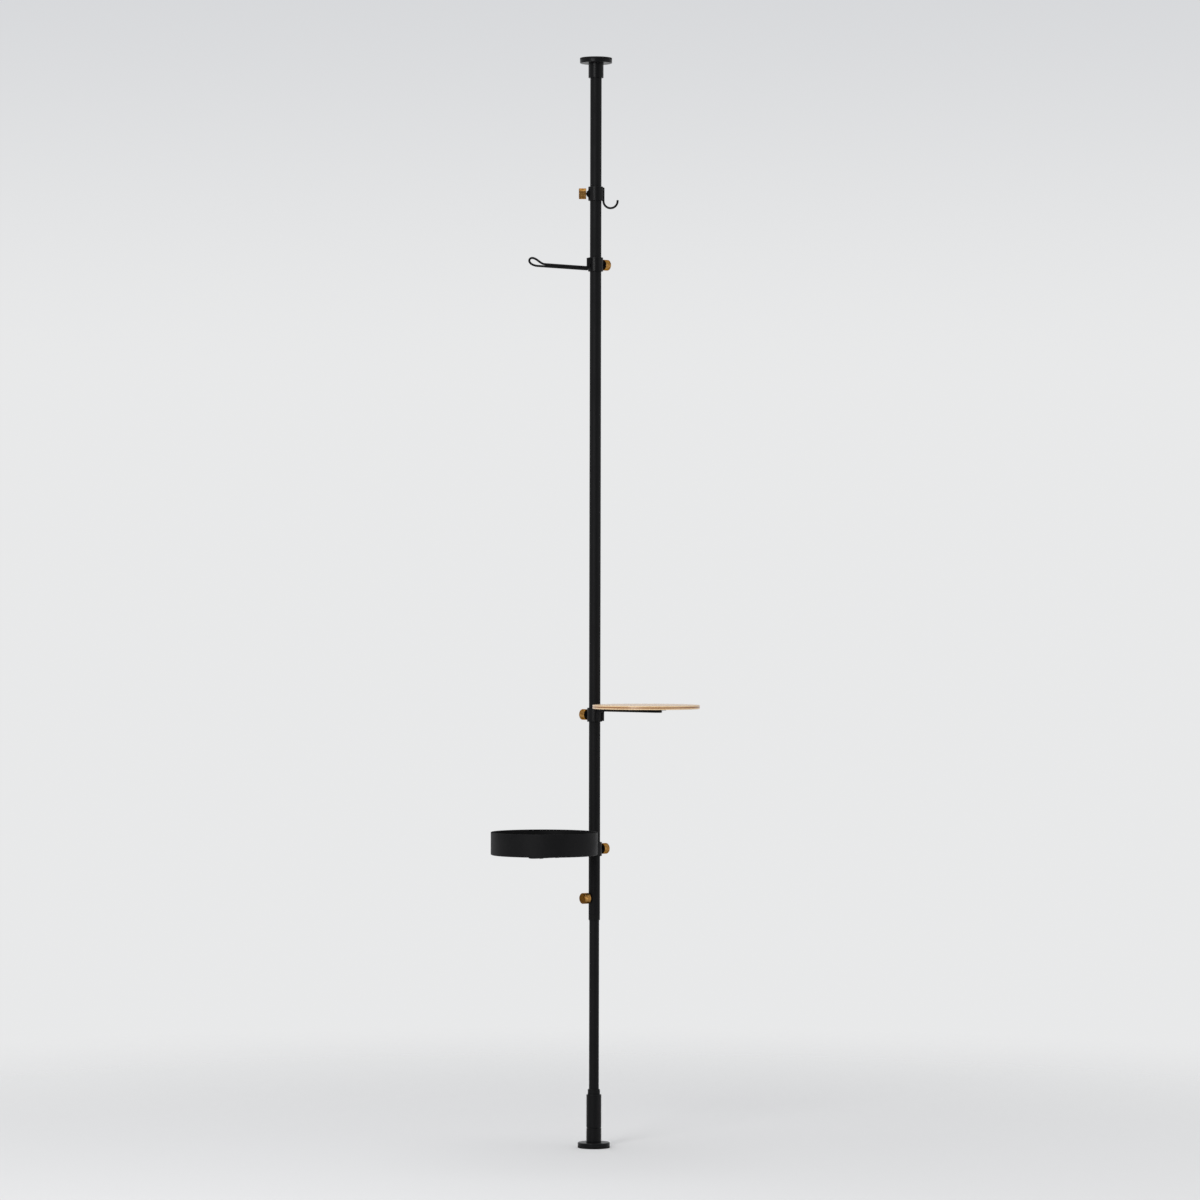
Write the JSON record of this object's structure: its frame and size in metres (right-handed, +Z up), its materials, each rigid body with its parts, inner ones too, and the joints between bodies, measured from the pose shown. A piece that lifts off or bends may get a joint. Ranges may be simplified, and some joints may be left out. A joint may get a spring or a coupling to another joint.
{
  "type": "hanging plant stand",
  "caption": "Floor-to-ceiling telescopic pole with a clamp-on hook, hanging arm, round wooden shelf and round steel tray, each held by a brass thumb knob.",
  "frame": {"origin": "centre of the foot pad's underside, on the floor and on the pole's axis", "axes": "+Z up along the pole, +X to the right of someone facing the stand, the way its hook points, and -Y towards them"},
  "size_m": [0.4828, 0.2771, 2.545],
  "materials": {
    "black_coat": "satin black powder coat",
    "brass": "turned and lightly brushed",
    "plywood": "clear matt lacquer",
    "rubber": "matt",
    "nylon": "moulded, matt",
    "zinc_steel": "bright zinc plate",
    "black_steel": "blackened steel"
  },
  "bodies": {
    "foot": {"foot_pad": "rubber", "foot_flange": "black_coat", "foot_screw": "zinc_steel", "foot_cup": "black_coat", "jack_rod": "zinc_steel"},
    "lower_pole": {"lower_tube": "black_coat", "tube_guide": "nylon", "neck_bush": "nylon", "thrust_washer": "nylon"},
    "adjuster": {"adjuster_sleeve": "black_coat", "jack_nut": "brass"},
    "main_pole": {"main_tube": "black_coat", "tube_end_bush": "nylon", "lock_boss": "black_coat", "ceiling_cup": "black_coat", "ceiling_screw": "zinc_steel", "ceiling_flange": "black_coat", "ceiling_pad": "rubber"},
    "lock_tip": {"lock_screw_tip": "nylon"},
    "lock_thumb_screw": {"lock_knob": "brass", "lock_knob_core": "nylon", "lock_clamp_screw": "black_steel"},
    "hook_slider": {"hook_liner": "nylon"},
    "hook": {"hook_collar": "black_coat", "hook_wire": "black_coat"},
    "hook_tip": {"hook_screw_tip": "nylon"},
    "hook_thumb_screw": {"hook_knob": "brass", "hook_knob_core": "nylon", "hook_clamp_screw": "black_steel"},
    "arm_slider": {"arm_liner": "nylon"},
    "arm": {"arm_collar": "black_coat", "arm_wire": "black_coat"},
    "arm_tip": {"arm_screw_tip": "nylon"},
    "arm_thumb_screw": {"arm_knob": "brass", "arm_knob_core": "nylon", "arm_clamp_screw": "black_steel"},
    "shelf_slider": {"shelf_liner": "nylon"},
    "shelf": {"shelf_collar": "black_coat", "shelf_bracket": "black_coat", "shelf_plate": "black_coat", "shelf_disc": "plywood", "shelf_screw_1": "black_steel", "shelf_screw_2": "black_steel", "shelf_screw_3": "black_steel"},
    "shelf_tip": {"shelf_screw_tip": "nylon"},
    "shelf_thumb_screw": {"shelf_knob": "brass", "shelf_knob_core": "nylon", "shelf_clamp_screw": "black_steel"},
    "tray_slider": {"tray_liner": "nylon"},
    "tray": {"tray_collar": "black_coat", "tray_bracket": "black_coat", "tray_plate": "black_coat", "tray_pan": "black_coat", "tray_screw_1": "black_steel", "tray_screw_2": "black_steel", "tray_screw_3": "black_steel"},
    "tray_tip": {"tray_screw_tip": "nylon"},
    "tray_thumb_screw": {"tray_knob": "brass", "tray_knob_core": "nylon", "tray_clamp_screw": "black_steel"}
  },
  "joints": [
    {"name": "jack_lift", "type": "slide", "parent": "foot", "child": "lower_pole", "axis": [0, 0, 1], "range_m": [0, 0.0301]},
    {"name": "sleeve_turn", "type": "hinge", "parent": "lower_pole", "child": "adjuster", "pos_m": [0, 0, 0.0854], "axis": [0, 0, 1], "range_deg": [0, 3600]},
    {"name": "pole_telescope", "type": "slide", "parent": "lower_pole", "child": "main_pole", "axis": [0, 0, 1], "range_m": [-0.39, 0.2]},
    {"name": "lock_screw_travel", "type": "slide", "parent": "main_pole", "child": "lock_tip", "axis": [-0.809, -0.5878, 0], "range_m": [0, 0.00201]},
    {"name": "lock_knob_turn", "type": "hinge", "parent": "lock_tip", "child": "lock_thumb_screw", "pos_m": [0, 0, 0.5828], "axis": [-0.809, -0.5878, 0], "range_deg": [0, 720]},
    {"name": "hook_height", "type": "slide", "parent": "main_pole", "child": "hook_slider", "axis": [0, 0, 1], "range_m": [-0.04, 0.24]},
    {"name": "hook_swivel", "type": "hinge", "parent": "hook_slider", "child": "hook", "pos_m": [0, 0, 2.228], "axis": [0, 0, 1], "continuous": true},
    {"name": "hook_screw_travel", "type": "slide", "parent": "hook", "child": "hook_tip", "axis": [-1, 0, 0], "range_m": [0, 0.00201]},
    {"name": "hook_knob_turn", "type": "hinge", "parent": "hook_tip", "child": "hook_thumb_screw", "pos_m": [0, 0, 2.228], "axis": [-1, 0, 0], "range_deg": [0, 720]},
    {"name": "arm_height", "type": "slide", "parent": "main_pole", "child": "arm_slider", "axis": [0, 0, 1], "range_m": [-0.4, 0.05]},
    {"name": "arm_swivel", "type": "hinge", "parent": "arm_slider", "child": "arm", "pos_m": [0, 0, 2.0627], "axis": [0, 0, 1], "continuous": true},
    {"name": "arm_screw_travel", "type": "slide", "parent": "arm", "child": "arm_tip", "axis": [0.7193, 0.6947, 0], "range_m": [0, 0.00201]},
    {"name": "arm_knob_turn", "type": "hinge", "parent": "arm_tip", "child": "arm_thumb_screw", "pos_m": [0, 0, 2.0627], "axis": [0.7193, 0.6947, 0], "range_deg": [0, 720]},
    {"name": "shelf_height", "type": "slide", "parent": "main_pole", "child": "shelf_slider", "axis": [0, 0, 1], "range_m": [-0.14, 0.5]},
    {"name": "shelf_swivel", "type": "hinge", "parent": "shelf_slider", "child": "shelf", "pos_m": [0, 0, 1.011], "axis": [0, 0, 1], "continuous": true},
    {"name": "shelf_screw_travel", "type": "slide", "parent": "shelf", "child": "shelf_tip", "axis": [-0.7314, 0.682, 0], "range_m": [0, 0.00201]},
    {"name": "shelf_knob_turn", "type": "hinge", "parent": "shelf_tip", "child": "shelf_thumb_screw", "pos_m": [0, 0, 1.011], "axis": [-0.7314, 0.682, 0], "range_deg": [0, 720]},
    {"name": "tray_height", "type": "slide", "parent": "main_pole", "child": "tray_slider", "axis": [0, 0, 1], "range_m": [-0.075, 0.1]},
    {"name": "tray_swivel", "type": "hinge", "parent": "tray_slider", "child": "tray", "pos_m": [0, 0, 0.6975], "axis": [0, 0, 1], "continuous": true},
    {"name": "tray_screw_travel", "type": "slide", "parent": "tray", "child": "tray_tip", "axis": [0.7071, 0.7071, 0], "range_m": [0, 0.00201]},
    {"name": "tray_knob_turn", "type": "hinge", "parent": "tray_tip", "child": "tray_thumb_screw", "pos_m": [0, 0, 0.6975], "axis": [0.7071, 0.7071, 0], "range_deg": [0, 720]}
  ],
  "couplings": [
    {"joint": "jack_lift", "follows": "sleeve_turn", "m_per_rad": 0.00047746},
    {"joint": "lock_screw_travel", "follows": "lock_knob_turn", "m_per_rad": 0.00015915},
    {"joint": "hook_screw_travel", "follows": "hook_knob_turn", "m_per_rad": 0.00015915},
    {"joint": "arm_screw_travel", "follows": "arm_knob_turn", "m_per_rad": 0.00015915},
    {"joint": "shelf_screw_travel", "follows": "shelf_knob_turn", "m_per_rad": 0.00015915},
    {"joint": "tray_screw_travel", "follows": "tray_knob_turn", "m_per_rad": 0.00015915}
  ]
}
